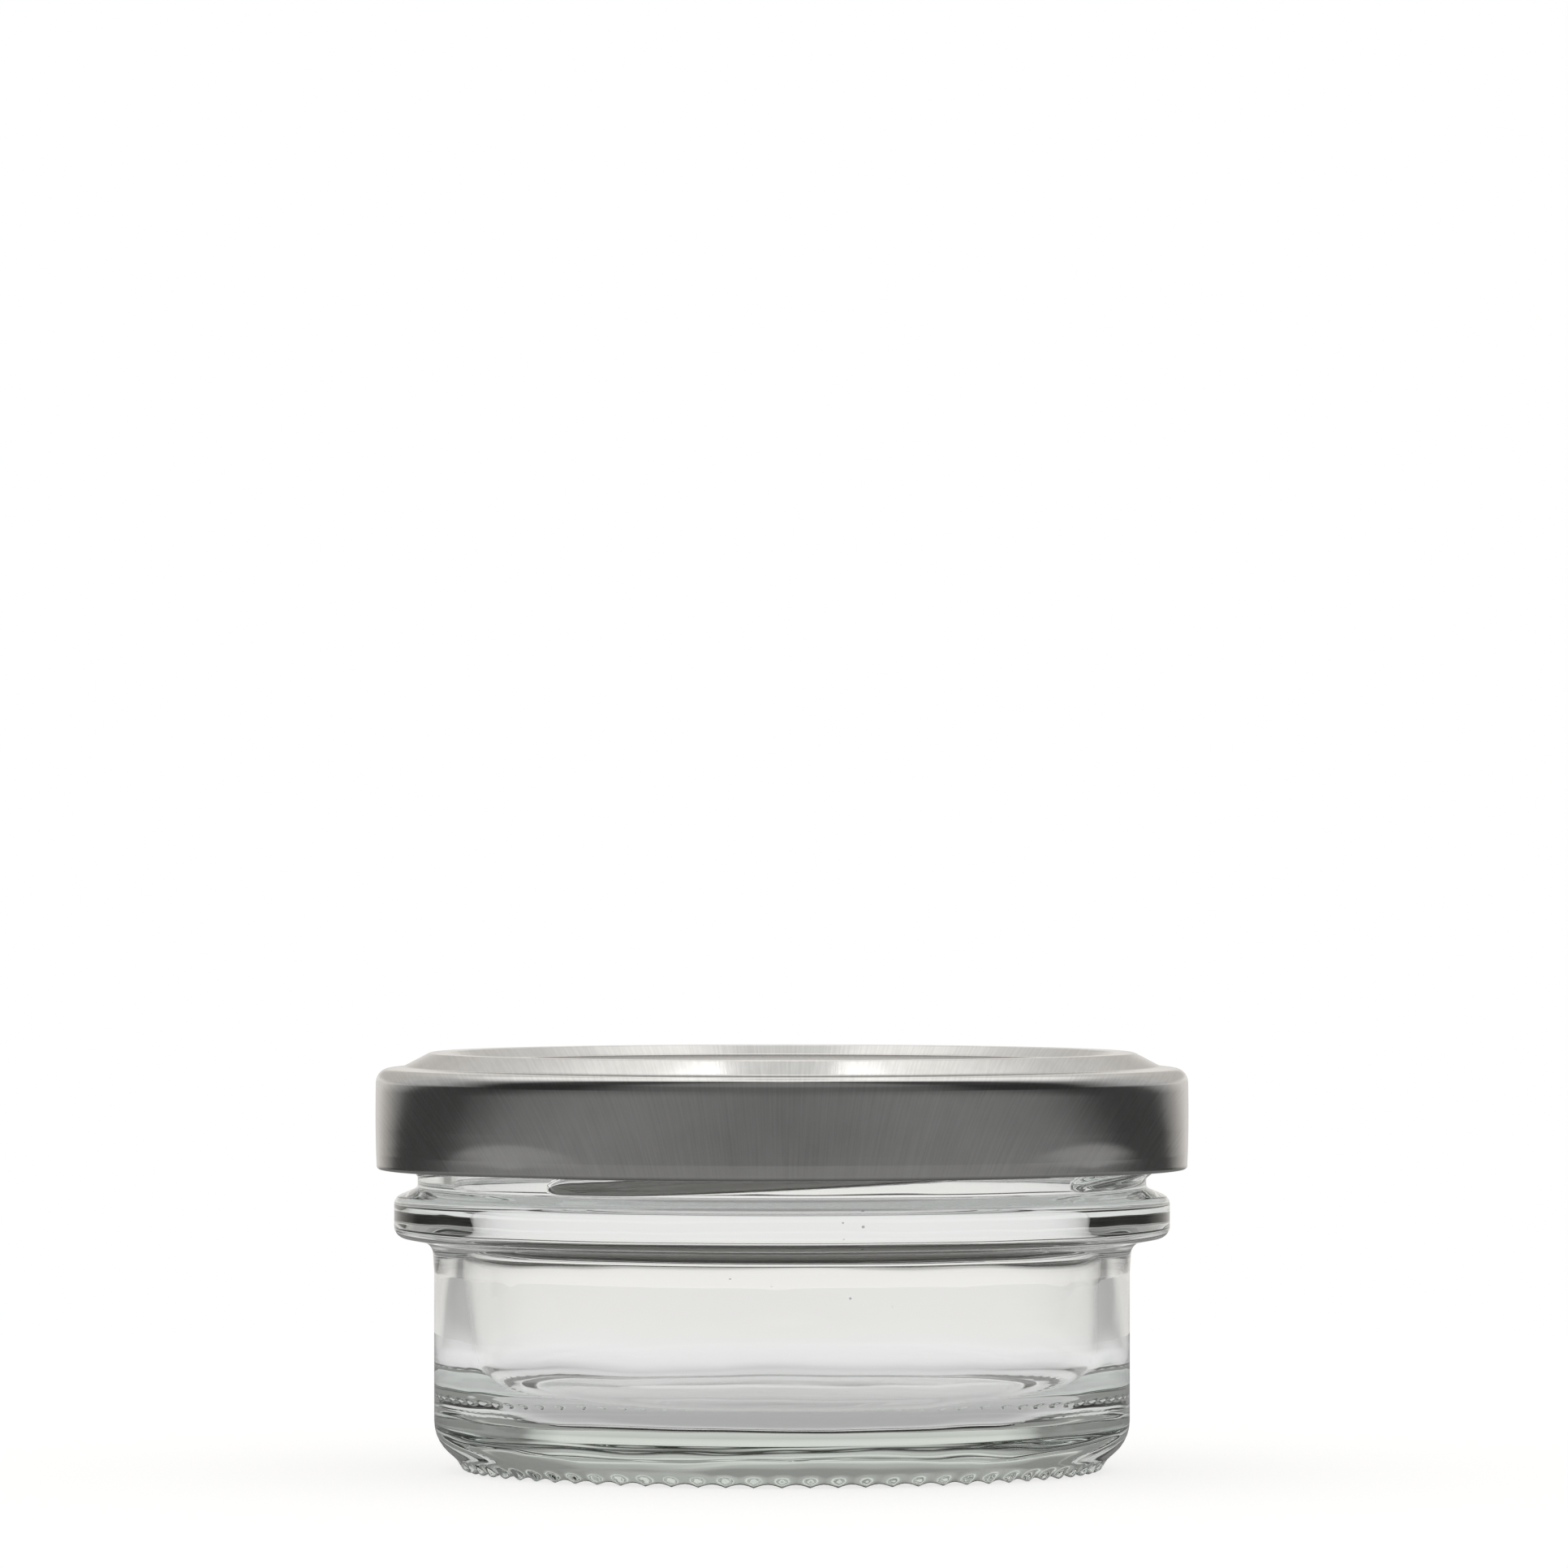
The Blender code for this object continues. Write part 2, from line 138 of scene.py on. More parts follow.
def spin_piece(name, outline, sides, gap_at):
    """Extrude a point along a half section, add rings where they are wanted, and spin it round."""
    bpy.ops.mesh.primitive_plane_add(size=START_SIZE, location=(outline[0][0], 0, outline[0][1]))
    piece = bpy.context.object
    piece.name = name
    piece.data.name = name
    bpy.ops.object.transform_apply(location=True, rotation=True, scale=True)
    bpy.ops.object.mode_set(mode="EDIT")
    bpy.ops.mesh.merge(type="CENTER")
    for start, end in zip(outline, outline[1:]):
        step = (end[0] - start[0], 0, end[1] - start[1])
        bpy.ops.mesh.extrude_region_move(TRANSFORM_OT_translate={"value": step})

    section = bmesh.from_edit_mesh(piece.data)
    cuts_of = {}
    for edge in section.edges:
        first, last = (vert.co for vert in edge.verts)
        cuts = round(edge.calc_length() / gap_at((first + last) / 2)) - 1
        if cuts > 0:
            cuts_of.setdefault(cuts, []).append(((first + last) / 2, edge.calc_length()))
    for cuts, stretches in cuts_of.items():
        for edge in section.edges:
            middle = (edge.verts[0].co + edge.verts[1].co) / 2
            edge.select_set(any((middle - place).length < length / 100 and edge.calc_length() > length / 2
                                for place, length in stretches))
        bpy.ops.mesh.subdivide(number_cuts=cuts)
        section = bmesh.from_edit_mesh(piece.data)

    bpy.ops.mesh.select_all(action="SELECT")
    bpy.ops.mesh.spin(steps=sides, angle=2 * pi, center=(0, 0, 0), axis=(0, 0, 1))
    bpy.ops.mesh.select_all(action="SELECT")
    bpy.ops.mesh.remove_doubles(threshold=WELD_DISTANCE)
    bpy.ops.mesh.normals_make_consistent(inside=False)
    bpy.ops.object.mode_set(mode="OBJECT")
    bpy.ops.object.shade_smooth()
    return piece


def clock_of(place):
    """Angle of a place round the axis, in degrees from the front towards +X."""
    return degrees(atan2(place.x, -place.y))


def smooth(share):
    """A share held between 0 and 1 that leaves both ends gently."""
    held = min(max(share, 0), 1)
    return held * held * (3 - 2 * held)


def weigh(piece, name, weight_of):
    """Give a piece a vertex group, with the weight that a function has for each place."""
    group = piece.vertex_groups.new(name=name)
    for vert in piece.data.vertices:
        weight = weight_of(vert.co)
        if weight > 0:
            group.add([vert.index], weight, "REPLACE")
    return group


def push(piece, group, strength, texture=None):
    """Move the weighted part of a piece's surface outward, and apply the move."""
    move = piece.modifiers.new(group, "DISPLACE")
    move.vertex_group = group
    move.direction = "NORMAL"
    move.strength = strength
    move.mid_level = 0.5 if texture else 0.0
    if texture:
        move.texture = texture
        move.texture_coords = "LOCAL"
    bpy.context.view_layer.objects.active = piece
    bpy.ops.object.modifier_apply(modifier=move.name)


glass_outline = rounded([
    (0, FLOOR_LEVEL, 0),
    (LOWER_BORE, FLOOR_LEVEL + FLOOR_DISH, INNER_CORNER),
    (BODY_BORE, BODY_TOP, BORE_TOP_ROUNDING),
    (BODY_BORE, BEAD_BOTTOM, FLARE_START_ROUNDING),
    (NECK_BORE, BEAD_TOP, FLARE_END_ROUNDING),
    (NECK_BORE, RIM_TOP, RIM_INNER_ROUNDING),
    (NECK_RADIUS, RIM_TOP, RIM_OUTER_ROUNDING),
    (NECK_RADIUS, THREAD_ZONE_TOP, 0),
    (NECK_RADIUS, BEAD_TOP, BEAD_ROOT_ROUNDING),
    (BEAD_RADIUS, BEAD_EDGE_TOP, BEAD_UPPER_ROUNDING),
    (BEAD_RADIUS, BEAD_EDGE_BOTTOM, BEAD_LOWER_ROUNDING),
    (BODY_RADIUS + FLARE_REACH, BEAD_BOTTOM, COVE_ROUNDING),
    (BODY_RADIUS, BODY_TOP, BODY_TOP_ROUNDING),
    (BODY_RADIUS, HEEL_LEVEL, HEEL_RADIUS),
    (BEARING_OUTER, KNURL_HEIGHT, BEARING_ROUNDING),
    (BEARING_INNER, KNURL_HEIGHT, 0),
])
under_steps = [1 - step / PUSH_UP_RINGS for step in range(1, PUSH_UP_RINGS + 1)]
under = [Vector((BEARING_INNER * share, KNURL_HEIGHT + PUSH_UP * (1 - share ** 2) ** PUSH_UP_CURVE))
         for share in under_steps]


def glass_gap(place):
    """The gap between rings at a place: fine at threads, knurl and bead, and coarse elsewhere."""
    if place.x > NECK_RADIUS - THREAD_RING_GAP and BEAD_TOP < place.z < THREAD_ZONE_TOP:
        return THREAD_RING_GAP
    if place.x > BEARING_INNER and place.z < KNURL_TOP:
        return KNURL_RING_GAP
    if place.x > BODY_RADIUS and BEAD_BOTTOM < place.z < BEAD_TOP:
        return BEAD_RING_GAP
    return WALL_RING_GAP


jar = spin_piece("jar_glass_body", [*glass_outline, *under], GLASS_SIDES, glass_gap)

# The four threads: low ribs that climb the neck to the right, rounded off at both ends
THREAD_STARTS = 4
THREAD_LEAD = 0.010
THREAD_HEIGHT = 0.0014
THREAD_WIDTH = 0.0019
THREAD_LOWER_FLANK = 0.00150
THREAD_UPPER_FLANK = 0.00040
THREAD_FOOT = 0.0237
THREAD_SPAN_DEG = 115
THREAD_RUN_OUT_DEG = 6
THREAD_CLOCK = -38.0
THREAD_LEAST_SIZE = 0.05
ABOVE_BEAD = 0.0002
NECK_SLACK = 0.0001


def thread_weight(place):
    """How far out of the neck the threads stand at a place, as a share of their height."""
    if Vector(place.xy).length < NECK_RADIUS - NECK_SLACK or place.z < BEAD_TOP + ABOVE_BEAD:
        return 0
    along_start = (clock_of(place) - THREAD_CLOCK) % (360 / THREAD_STARTS)
    best = 0
    # A thread is longer than a quarter turn, so two of them can lie at one place
    for turn in range(2):
        along = along_start + turn * 360 / THREAD_STARTS
        if along >= THREAD_SPAN_DEG:
            continue
        to_end = min(along, THREAD_SPAN_DEG - along) / THREAD_RUN_OUT_DEG
        size = sqrt(1 - (1 - min(to_end, 1)) ** 2)
        middle = THREAD_FOOT + THREAD_LEAD * along / 360 + THREAD_WIDTH / 2
        up = (place.z - middle) / max(size, THREAD_LEAST_SIZE) + THREAD_WIDTH / 2
        rise = min(smooth(up / THREAD_LOWER_FLANK), smooth((THREAD_WIDTH - up) / THREAD_UPPER_FLANK))
        best = max(best, rise * size)
    return best


weigh(jar, "threads", thread_weight)
push(jar, "threads", THREAD_HEIGHT)

# The knurl that the jar stands on: rounded ribs under the bearing ring, which run up onto the heel
KNURL_COUNT = 72
KNURL_FADE = 0.0010
KNURL_INNER = 0.0258


def knurl_weight(place):
    """How far the knurl stands out of the glass at a place, as a share of its height."""
    radius = Vector(place.xy).length
    if place.z > KNURL_TOP or radius < KNURL_INNER:
        return 0
    rib = 1 - abs(sin(radians(clock_of(place)) * KNURL_COUNT / 2))
    run_up = smooth((KNURL_TOP - place.z) / (KNURL_TOP - KNURL_HEIGHT))
    return rib * run_up * smooth((radius - KNURL_INNER) / KNURL_FADE)


weigh(jar, "knurl", knurl_weight)
push(jar, "knurl", KNURL_HEIGHT)

# The unevenness of the blown inside, strongest on the floor
WAVE_HEIGHT = 0.00045
WAVE_SIZE = 0.011
NECK_WAVE_SHARE = 0.05
WALL_WAVE_SHARE = 0.25
FLOOR_WAVE_TOP = 0.012
FLOOR_WAVE_FADE = 0.006
BORE_SLACK = 0.0002
FLOOR_SLACK = 0.0003


def blown_weight(place):
    """How uneven the inside is at a place: nothing outside, little at the neck, most on the floor."""
    radius = Vector(place.xy).length
    if radius > NECK_BORE + BORE_SLACK or place.z > RIM_TOP - RIM_OUTER_ROUNDING:
        return 0
    if place.z < FLOOR_LEVEL - FLOOR_SLACK:
        return 0
    if place.z > BEAD_TOP:
        return NECK_WAVE_SHARE
    floor = smooth((FLOOR_WAVE_TOP - place.z) / FLOOR_WAVE_FADE) * smooth(radius / FLOOR_WAVE_FADE)
    return WALL_WAVE_SHARE + (1 - WALL_WAVE_SHARE) * floor


waves = bpy.data.textures.new("blown_glass_waves", "CLOUDS")
waves.noise_scale = WAVE_SIZE
waves.noise_depth = 1
weigh(jar, "blown_inside", blown_weight)
push(jar, "blown_inside", WAVE_HEIGHT, texture=waves)


class Signal:
    """An output socket of a material, which adds, scales and compares as a number does."""

    def __init__(self, nodes, socket):
        self.nodes = nodes
        self.socket = socket

    def maths(self, operation, *values):
        return self.nodes.add("ShaderNodeMath", {"operation": operation}, dict(enumerate(values)))

    def __add__(self, other):
        return self.maths("ADD", self, other)

    __radd__ = __add__

    def __mul__(self, other):
        return self.maths("MULTIPLY", self, other)

    __rmul__ = __mul__

    def __sub__(self, other):
        return self.maths("SUBTRACT", self, other)

    def __rsub__(self, other):
        return self.maths("SUBTRACT", other, self)

    def __truediv__(self, other):
        return self.maths("DIVIDE", self, other)

    def __pow__(self, other):
        return self.maths("POWER", self, other)

    def __abs__(self):
        return self.maths("ABSOLUTE", self)

    def most(self, other):
        return self.maths("MAXIMUM", self, other)

    def least(self, other):
        return self.maths("MINIMUM", self, other)

    def step(self, low, high):
        """0 below low, 1 above high, and a smooth rise between them."""
        return self.nodes.add("ShaderNodeMapRange", {"interpolation_type": "SMOOTHSTEP"},
                              {"Value": self, "From Min": low, "From Max": high})


class Nodes:
    """The nodes of one material or world."""

    def __init__(self, owner):
        owner.use_nodes = True
        self.tree = owner.node_tree
        self.tree.nodes.clear()

    def add(self, kind, settings=None, sockets=None, out=0):
        """Add a node: set it up, then give its sockets values or links. Returns one output."""
        node = self.tree.nodes.new(kind)
        for name, value in (settings or {}).items():
            if name == "stops":
                self.set_stops(node.color_ramp, value)
            else:
                setattr(node, name, value)
        for key, value in (sockets or {}).items():
            named = [socket for socket in node.inputs if socket.name == key and socket.enabled]
            socket = node.inputs[key] if isinstance(key, int) else named[0]
            if isinstance(value, Signal):
                self.tree.links.new(value.socket, socket)
            else:
                socket.default_value = value
        shown = [socket for socket in node.outputs if socket.enabled]
        if not shown:
            return None
        return Signal(self, node.outputs[out] if isinstance(out, str) else shown[out])

    def axes(self, place, letters):
        """How far a place lies along each of the named axes."""
        return [self.add("ShaderNodeSeparateXYZ", {}, {"Vector": place}, out=axis) for axis in letters]

    @staticmethod
    def set_stops(ramp, stops):
        """Give a colour ramp its stops, each a position and a colour."""
        while len(ramp.elements) > 1:
            ramp.elements.remove(ramp.elements[-1])
        ramp.elements[0].position = stops[0][0]
        ramp.elements[0].color = stops[0][1]
        for position, color in stops[1:]:
            ramp.elements.new(position).color = color

    def mix(self, share, first, second, way="MIX"):
        """A colour between two colours, or the first one with a share of the second worked into it."""
        return self.add("ShaderNodeMix", {"data_type": "RGBA", "blend_type": way},
                        {"Factor": share, "A": first, "B": second})


def new_finish(name):
    """A material and its nodes."""
    finish = bpy.data.materials.new(name)
    return finish, Nodes(finish)


# Clear glass, faintly green where it is thick, with a few tiny seeds and finger marks
GLASS_IOR = 1.52
GLASS_ABSORBED = (0.467, 0.567, 0.50, 1)
GLASS_DENSITY = 12.0
CLEAR = (1.0, 1.0, 1.0, 1)
SEED_GREY = (0.25, 0.25, 0.26, 1)
SEED_EDGE = (0.02, 0.045)
SEEDS_KEPT = (0.66, 0.68)
SMUDGES_KEPT = (0.55, 0.8)
SMUDGE_ROUGHNESS = 0.02
RIPPLE_HEIGHT = 0.00002
MOST_BOUNCES = 4.5
glass, nodes = new_finish("clear_glass")
here = nodes.add("ShaderNodeTexCoord", out="Object")
smudges = nodes.add("ShaderNodeTexNoise", {}, {"Vector": here, "Scale": 90.0, "Detail": 3.0})
ripple = nodes.add("ShaderNodeTexNoise", {}, {"Vector": here, "Scale": 220.0, "Detail": 1.0})
seeds = nodes.add("ShaderNodeTexVoronoi", {"feature": "F1"},
                  {"Vector": here, "Scale": 260.0, "Randomness": 1.0}, out="Distance")
seed_pick = nodes.add("ShaderNodeTexNoise", {}, {"Vector": here, "Scale": 45.0, "Detail": 0.0})
seed = (1 - seeds.step(*SEED_EDGE)) * seed_pick.step(*SEEDS_KEPT)
tint = nodes.mix(seed, CLEAR, SEED_GREY)
bump = nodes.add("ShaderNodeBump", {}, {"Strength": 0.25, "Distance": RIPPLE_HEIGHT, "Height": ripple})
shader = nodes.add("ShaderNodeBsdfPrincipled", {}, {
    "Base Color": tint, "Roughness": smudges.step(*SMUDGES_KEPT) * SMUDGE_ROUGHNESS, "IOR": GLASS_IOR,
    "Transmission Weight": 1.0, "Normal": bump})
# Light that has been through many faces goes straight on, so that the thick base doesn't turn black
bounces = nodes.add("ShaderNodeLightPath", out="Ray Depth")
deep = bounces.maths("GREATER_THAN", bounces, MOST_BOUNCES)
straight = nodes.add("ShaderNodeBsdfTransparent")
surface = nodes.add("ShaderNodeMixShader", {}, {0: deep, 1: shader, 2: straight})
depth = nodes.add("ShaderNodeVolumeAbsorption", {}, {"Color": GLASS_ABSORBED, "Density": GLASS_DENSITY})
nodes.add("ShaderNodeOutputMaterial", {}, {"Surface": surface, "Volume": depth})
jar.data.materials.append(glass)
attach(jar, "jar")
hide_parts("glass_jar")

# Sealing ring: a soft off-white compound, poured into the channel of the lid and baked there. It
# lies on the rim of the jar, follows the crown of the lid above, and has a rounded inner edge.
RING_BORE = 0.02878
RING_SHOULDER = 0.0348
RING_TOP = 0.0349
RING_BOTTOM = 0.0337
RING_CREST = 0.02945
RING_EDGE_TOP = 0.02985
RING_EDGE = 0.03188
RING_BORE_FALL = 0.0005
RING_OUTER_ROUNDING = 0.00008
RING_TOP_ROUNDING = 0.0004
RING_INNER_ROUNDING = 0.0003
RING_SIDES = 192
NO_EXTRA_RINGS = 1.0
ring = spin_piece("sealing_compound", rounded([
    ((RING_BORE + RING_EDGE) / 2, RING_BOTTOM, 0),
    (RING_EDGE, RING_BOTTOM, RING_OUTER_ROUNDING),
    (RING_EDGE_TOP, RING_TOP, RING_TOP_ROUNDING),
    (RING_CREST, RING_TOP, RING_INNER_ROUNDING),
    (RING_BORE, RING_SHOULDER - RING_BORE_FALL, RING_INNER_ROUNDING),
    (RING_BORE, RING_BOTTOM, RING_INNER_ROUNDING),
    ((RING_BORE + RING_EDGE) / 2, RING_BOTTOM, 0),
]), RING_SIDES, lambda place: NO_EXTRA_RINGS)

COMPOUND_DARK = (0.74, 0.71, 0.64, 1)
COMPOUND_PALE = (0.83, 0.81, 0.76, 1)
COMPOUND_ROUGHNESS = 0.42
ROUGHER_BY_MOTTLE = 0.2
FLOW_HEIGHT = 0.00003
NOISE_SPREAD = (0.3, 0.7)
compound, nodes = new_finish("sealing_compound")
here = nodes.add("ShaderNodeTexCoord", out="Object")
mottle = nodes.add("ShaderNodeTexNoise", {}, {"Vector": here, "Scale": 350.0, "Detail": 4.0})
flow = nodes.add("ShaderNodeTexNoise", {}, {"Vector": here, "Scale": 1200.0, "Detail": 2.0})
shade = nodes.mix(mottle.step(*NOISE_SPREAD), COMPOUND_DARK, COMPOUND_PALE)
bump = nodes.add("ShaderNodeBump", {}, {"Strength": 0.4, "Distance": FLOW_HEIGHT, "Height": flow})
shader = nodes.add("ShaderNodeBsdfPrincipled", {}, {
    "Base Color": shade, "Roughness": COMPOUND_ROUGHNESS + ROUGHER_BY_MOTTLE * mottle, "IOR": 1.5,
    "Normal": bump})
nodes.add("ShaderNodeOutputMaterial", {}, {"Surface": shader})
ring.data.materials.append(compound)
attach(ring, "seal")
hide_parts("sealing_ring")

# Lid: one sheet of tinplate, 0.2 mm thick, drawn into a raised crown and a plain skirt. Its foot
# is curled inward, and the curl is pressed flat and inward in four places, which are the lugs.
LID_RADIUS = 0.0345
SKIRT_FOOT = 0.02559
PANEL_LEVEL = 0.0346
CREST_LEVEL = 0.03545
PANEL_RADIUS = 0.0272
CREST_INNER = 0.0288
CREST_OUTER = 0.02985
CHAMFER_FOOT = 0.03215
SHOULDER_LEVEL = 0.03425
SHOULDER_EDGE_LEVEL = 0.0340
CURL_RADIUS = 0.0008
SKIRT_MIDDLE = 0.0300
SKIRT_BULGE = 0.00008
SKIRT_BOW_RADIUS = 0.10
CURL_FACE_TOP = 0.0269
CURL_FACE_SLOPE = 0.00006
CURL_FOOT_CORNER = 0.00025
CURL_INNER_CORNER = 0.0007
CURL_EDGE = 0.0338
CURL_EDGE_ROUNDING = 0.0002
CURL_FACE_ROUNDING = 0.003
PANEL_ROUNDING = 0.0012
CREST_ROUNDING = 0.0009
CHAMFER_ROUNDING = 0.0012
SHOULDER_ROUNDING = 0.0012
DENT_HEIGHT = 0.0029
SHEET = 0.0002
LID_SIDES = 360
DENT_RING_GAP = 0.00018
PANEL_RING_GAP = 0.0018

curl_inner = LID_RADIUS - 2 * CURL_RADIUS
curl_top = SKIRT_FOOT + 2 * CURL_RADIUS
lid_outline = rounded([
    (0, PANEL_LEVEL, 0),
    (PANEL_RADIUS, PANEL_LEVEL, PANEL_ROUNDING),
    (CREST_INNER, CREST_LEVEL, CREST_ROUNDING),
    (CREST_OUTER, CREST_LEVEL, CREST_ROUNDING),
    (CHAMFER_FOOT, SHOULDER_LEVEL, CHAMFER_ROUNDING),
    (LID_RADIUS - SKIRT_BULGE, SHOULDER_EDGE_LEVEL, SHOULDER_ROUNDING),
    (LID_RADIUS, SKIRT_MIDDLE, SKIRT_BOW_RADIUS),
    (LID_RADIUS - SKIRT_BULGE, CURL_FACE_TOP, CURL_FACE_ROUNDING),
    (LID_RADIUS - SKIRT_BULGE - CURL_FACE_SLOPE, SKIRT_FOOT, CURL_FOOT_CORNER),
    (curl_inner, SKIRT_FOOT, CURL_INNER_CORNER),
    (curl_inner, curl_top, CURL_INNER_CORNER),
    (CURL_EDGE, curl_top, CURL_EDGE_ROUNDING),
    (CURL_EDGE, SKIRT_FOOT + CURL_RADIUS, 0),
])


def lid_gap(place):
    """The gap between rings at a place: fine where the skirt is dented, and coarse elsewhere."""
    dented = place.x > LID_RADIUS - 2 * SHEET and place.z < SKIRT_FOOT + DENT_HEIGHT
    return DENT_RING_GAP if dented else PANEL_RING_GAP


lid = spin_piece("lid_tinplate", lid_outline, LID_SIDES, lid_gap)
outside_count = len(lid.data.vertices)
wall = lid.modifiers.new("sheet", "SOLIDIFY")
wall.thickness = SHEET
wall.offset = -1
wall.use_even_offset = True
bpy.ops.object.modifier_apply(modifier=wall.name)
inside = lid.data.attributes.new("lacquered_inside", "FLOAT", "POINT")
inside.data.foreach_set("value", [float(vert.index >= outside_count) for vert in lid.data.vertices])

LUG_CLOCK = -41.2
LUG_HALF_DEG = 6.9
LUG_BLEND_DEG = 2.0
LUG_TIP = 0.0314
LUG_TIP_THICKNESS = 0.00060
LUG_COUNT = 4
DENT_DEPTH = 0.00014
DENT_HALF_DEG = 13.5
DENT_EDGE = 0.12
CURL_ZONE_RADII = 2.1
SKIRT_SHEETS = 1.2

# The dents above the lugs, and the lugs themselves, are pressed in point by point
for vert in lid.data.vertices:
    above_foot = vert.co.z - SKIRT_FOOT
    radius = Vector(vert.co.xy).length
    if above_foot > DENT_HEIGHT or radius < LUG_TIP:
        continue
    spacing = 360 / LUG_COUNT
    off_lug = (clock_of(vert.co) - LUG_CLOCK + spacing / 2) % spacing - spacing / 2
    above_curl = max(above_foot - CURL_RADIUS, 0)
    away = sqrt((off_lug / DENT_HALF_DEG) ** 2 + (above_curl / (DENT_HEIGHT - CURL_RADIUS)) ** 2)
    within = max(1 - away, 0)
    dent = DENT_DEPTH * within * within * (1 + DENT_EDGE) / (within + DENT_EDGE)
    pressed = 1 - smooth((abs(off_lug) - LUG_HALF_DEG) / LUG_BLEND_DEG)
    inward = (LID_RADIUS - radius) / (2 * CURL_RADIUS)
    new_radius = radius - dent
    if above_foot < CURL_ZONE_RADII * CURL_RADIUS and radius < LID_RADIUS - SHEET * SKIRT_SHEETS:
        tip_shift = (LID_RADIUS - 2 * CURL_RADIUS - LUG_TIP - dent) * pressed
        new_radius -= tip_shift * min(inward, 1)
        to_tip = (LID_RADIUS - CURL_RADIUS - new_radius) / (LID_RADIUS - CURL_RADIUS - LUG_TIP)
        crest_share = min(max(to_tip, 0), 1)
        climb = THREAD_LEAD * off_lug / 360
        top = 2 * CURL_RADIUS * (1 - crest_share) + LUG_TIP_THICKNESS * crest_share + climb * crest_share
        flat = 1 + (top / (2 * CURL_RADIUS) - 1) * pressed
        vert.co.z = SKIRT_FOOT + above_foot * flat
    vert.co.xy = vert.co.xy * (new_radius / radius)

# Satin tinplate with a fine rolling grain that runs over the crown and down the skirt, a dark line
# of painted shade along the foot, and brown-grey lacquer on the inside
TINPLATE_DULL = (0.735, 0.729, 0.717, 1)
TINPLATE_BRIGHT = (0.855, 0.849, 0.837, 1)
TINPLATE_ROUGHNESS = 0.11
ROUGHER_BY_TONE = 0.07
ROUGHER_BY_LACQUER = 0.25
LACQUER_DARK = (0.26, 0.25, 0.232, 1)
LACQUER_PALE = (0.30, 0.29, 0.272, 1)
FOOT_SHADE_COLOR = (0.12, 0.115, 0.11, 1)
FOOT_SHADE_SHARE = 0.6
FOOT_SHADE_FULL_UP_TO = 0.0001
FOOT_SHADE_TOP = 0.00045
ROLLING_DEG = 24.0
GRAIN_SCALE = (4200.0, 130.0, 1.0)
GRAIN_HEIGHT = 0.00001
LEAST_RADIUS = 0.001
tinplate, nodes = new_finish("satin_tinplate")
here = nodes.add("ShaderNodeTexCoord", out="Object")
across, along, up = nodes.axes(here, "XYZ")
from_axis = (across * across + along * along) ** 0.5
flat_share = (from_axis + (CREST_LEVEL - up).most(0.0)) / from_axis.most(LEAST_RADIUS)
rolled = nodes.add("ShaderNodeCombineXYZ", {}, {"X": across * flat_share, "Y": along * flat_share})
grain_place = nodes.add("ShaderNodeMapping", {}, {
    "Vector": rolled, "Rotation": (0, 0, radians(ROLLING_DEG)), "Scale": GRAIN_SCALE})
grain = nodes.add("ShaderNodeTexNoise", {}, {"Vector": grain_place, "Scale": 1.0, "Detail": 3.0})
mottle = nodes.add("ShaderNodeTexNoise", {}, {"Vector": here, "Scale": 420.0, "Detail": 3.0})
cloud = nodes.add("ShaderNodeTexNoise", {}, {"Vector": here, "Scale": 110.0, "Detail": 2.0})
tone = 0.5 * grain + 0.3 * mottle + 0.2 * cloud
metal = nodes.mix(tone.step(*NOISE_SPREAD), TINPLATE_DULL, TINPLATE_BRIGHT)
# Painted shade: the colour is darkened along the lowest part of the skirt, at the foot
painted_foot_shade = 1 - (up - SKIRT_FOOT).step(FOOT_SHADE_FULL_UP_TO, FOOT_SHADE_TOP)
metal = nodes.mix(FOOT_SHADE_SHARE * painted_foot_shade, metal, FOOT_SHADE_COLOR)
lacquer = nodes.mix(cloud.step(*NOISE_SPREAD), LACQUER_DARK, LACQUER_PALE)
inner = nodes.add("ShaderNodeAttribute", {"attribute_name": "lacquered_inside"}, out="Fac")
height = 0.6 * grain + 0.4 * mottle
bump = nodes.add("ShaderNodeBump", {}, {"Strength": 0.35, "Distance": GRAIN_HEIGHT, "Height": height})
shader = nodes.add("ShaderNodeBsdfPrincipled", {}, {
    "Base Color": nodes.mix(inner, metal, lacquer), "Metallic": 1 - inner,
    "Roughness": TINPLATE_ROUGHNESS + ROUGHER_BY_TONE * tone + ROUGHER_BY_LACQUER * inner,
    "Normal": bump})
nodes.add("ShaderNodeOutputMaterial", {}, {"Surface": shader})
lid.data.materials.append(tinplate)
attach(lid, "lid")
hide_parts("lid_shell")

# Studio: a round white table, a white backdrop behind it, dark flags at its sides, a grey room in
# front, and two soft lamps above the backdrop. The table and the backdrop show white to the camera.
TABLE_RADIUS = 0.255
TABLE_SIDES = 96
TABLE_PAINT = (0.34, 0.34, 0.337, 1)
TABLE_WHITE = (1.0, 0.995, 0.985)
ROOM_LIGHT = 0.8
HALF_TURN_DEG = 180
TABLE_GLOW = 0.75
# Brightness of the table through the glass, from seen straight down (0) to seen edge-on (1)
TABLE_GLOW_BY_FACING = (
    (0, 0.42), (0.35, 0.43), (0.5, 0.52), (0.6, 0.62), (0.85, 0.66), (0.93, 0.63), (1, 0.62))
# The share of it that is left under and round the jar, where the jar's shadow is painted on the
# table, by millimetres from the axis, and the slant of view at which nothing is taken off any more
TABLE_SHADOW_MM = 100
TABLE_PAINTED_SHADOW = ((0, 0.57), (14, 0.57), (18, 1.0), (29, 1.0), (32, 0.30), (50, 0.30), (80, 1.0))
TABLE_SHADOW_SLANT = (0.3, 0.5)
# How far out the table is evenly bright, and from where it is as bright as the room behind it
TABLE_EVEN_TO = 0.06
TABLE_AS_ROOM_FROM = 0.16
